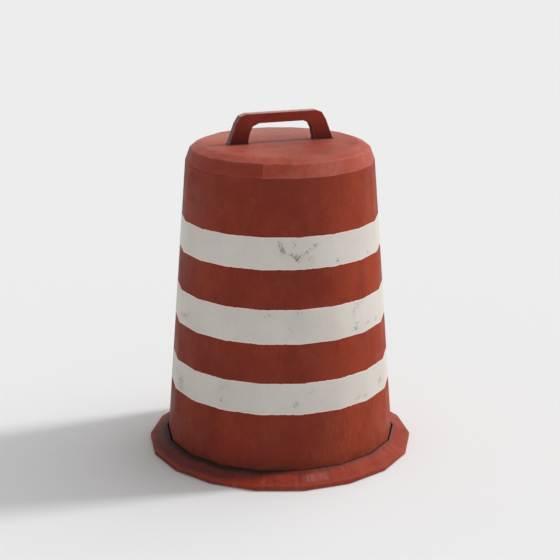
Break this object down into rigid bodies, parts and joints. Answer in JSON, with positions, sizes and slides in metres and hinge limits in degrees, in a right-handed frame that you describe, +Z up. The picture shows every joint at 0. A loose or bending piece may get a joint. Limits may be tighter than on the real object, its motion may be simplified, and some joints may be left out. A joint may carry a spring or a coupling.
{
  "type": "traffic barrel drum",
  "caption": "Tapered polygonal plastic traffic drum with white reflective bands and a carrying handle, standing in a weighted foot ring it lifts off from.",
  "frame": {"origin": "centre of the footprint on the ground", "axes": "+Z up along the drum's axis, X along the carrying handle, -Y the front"},
  "size_m": [0.8276, 0.8154, 1.05],
  "materials": {
    "drum_plastic": "faded, dusty moulded polyethylene",
    "cap_plastic": "faded, dusty moulded polyethylene",
    "base_plastic": "scuffed moulded polyethylene",
    "handle_plastic": "worn moulded polyethylene",
    "reflective_sheeting": "scuffed white retroreflective sheeting",
    "ballast_rubber": "recycled crumb rubber",
    "gasket_rubber": "smooth matt",
    "zinc_steel": "zinc plated",
    "insert_brass": "turned"
  },
  "bodies": {
    "base": {"base_flange": "base_plastic", "ballast_ring": "ballast_rubber", "ballast_washers": "zinc_steel", "ballast_screws": "zinc_steel"},
    "drum": {"drum_shell": "drum_plastic", "top_cap": "cap_plastic", "band_upper": "reflective_sheeting", "band_middle": "reflective_sheeting", "band_lower": "reflective_sheeting", "handle": "handle_plastic", "handle_gasket_left": "gasket_rubber", "handle_gasket_right": "gasket_rubber", "handle_inserts": "insert_brass", "handle_bolts": "zinc_steel", "handle_lock_washers": "zinc_steel", "handle_plate_left": "zinc_steel", "handle_plate_right": "zinc_steel"}
  },
  "joints": [
    {"name": "drum_lift", "type": "slide", "parent": "base", "child": "drum", "axis": [0, 0, 1], "range_m": [0, 0.12]}
  ]
}
